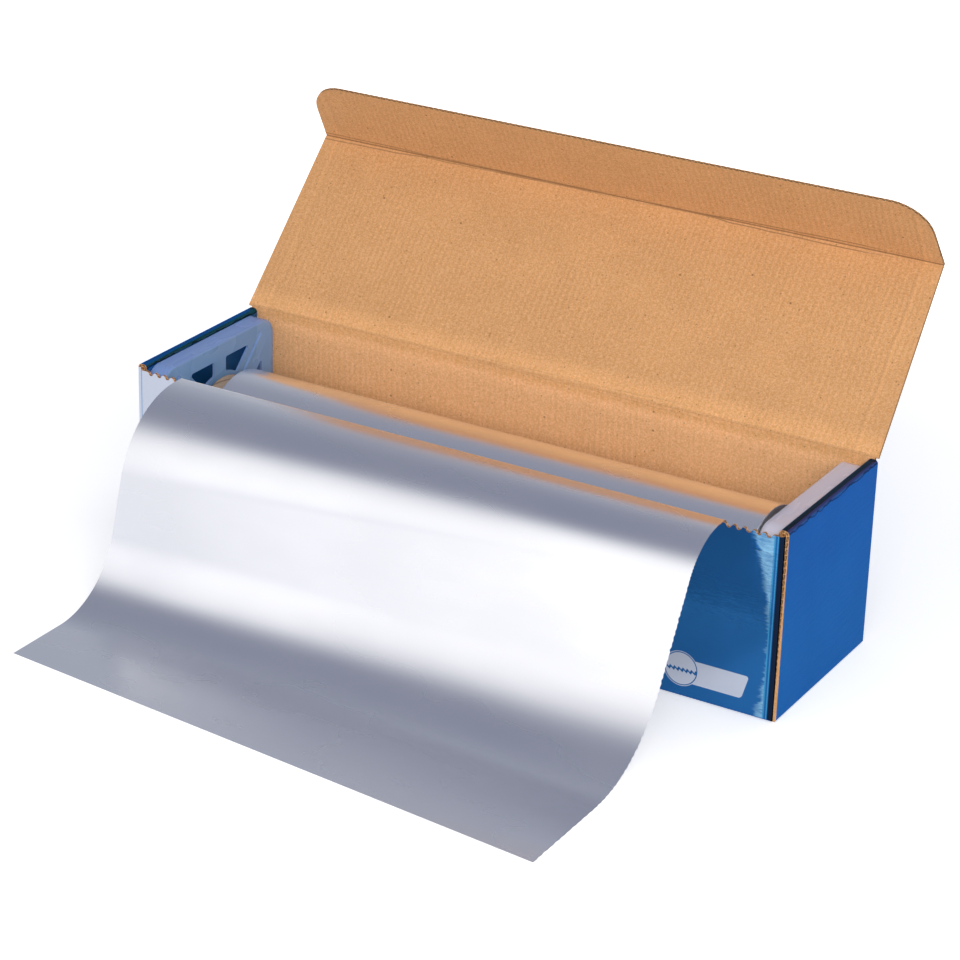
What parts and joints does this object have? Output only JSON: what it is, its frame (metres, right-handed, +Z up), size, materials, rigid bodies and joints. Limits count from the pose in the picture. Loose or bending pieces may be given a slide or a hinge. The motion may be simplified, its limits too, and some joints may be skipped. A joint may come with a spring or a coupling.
{
  "type": "aluminium foil roll",
  "caption": "Open dispenser carton with a toothed front edge and a hinged lid, holding a wide roll of aluminium foil on moulded end holders, with foil drawn down to the table.",
  "frame": {"origin": "centre of the carton's underside, on the table", "axes": "+X along the carton, -Y the toothed front that the foil is drawn over, +Y the lid's crease, +Z up"},
  "size_m": [0.358, 0.3342, 0.2063],
  "materials": {
    "carton_board": "glossy blue print outside, bare kraft inside",
    "lid_board": "kraft inside, glossy blue print outside",
    "holder_plastic": "milky, natural polypropylene",
    "core_paper": "matte kraft",
    "foil": "bright rolled foil"
  },
  "bodies": {
    "carton": {"carton_tray": "carton_board", "end_holder_left": "holder_plastic", "end_holder_right": "holder_plastic", "foil_sheet": "foil"},
    "roll": {"core_tube": "core_paper", "foil_roll": "foil"},
    "lid": {"carton_lid": "lid_board"},
    "flap": {"tuck_flap": "lid_board"}
  },
  "joints": [
    {"name": "lid_crease", "type": "hinge", "parent": "carton", "child": "lid", "pos_m": [0, 0.0492, 0.0971], "axis": [-1, 0, 0], "range_deg": [-132.3, 47.7], "deforming": ["foil_sheet"]},
    {"name": "flap_crease", "type": "hinge", "parent": "lid", "child": "flap", "pos_m": [0, 0.11751, 0.17217], "axis": [1, 0, 0], "range_deg": [-75, 15]},
    {"name": "roll_spin", "type": "hinge", "parent": "carton", "child": "roll", "pos_m": [0, 0, 0.0481], "axis": [1, 0, 0], "continuous": true}
  ]
}
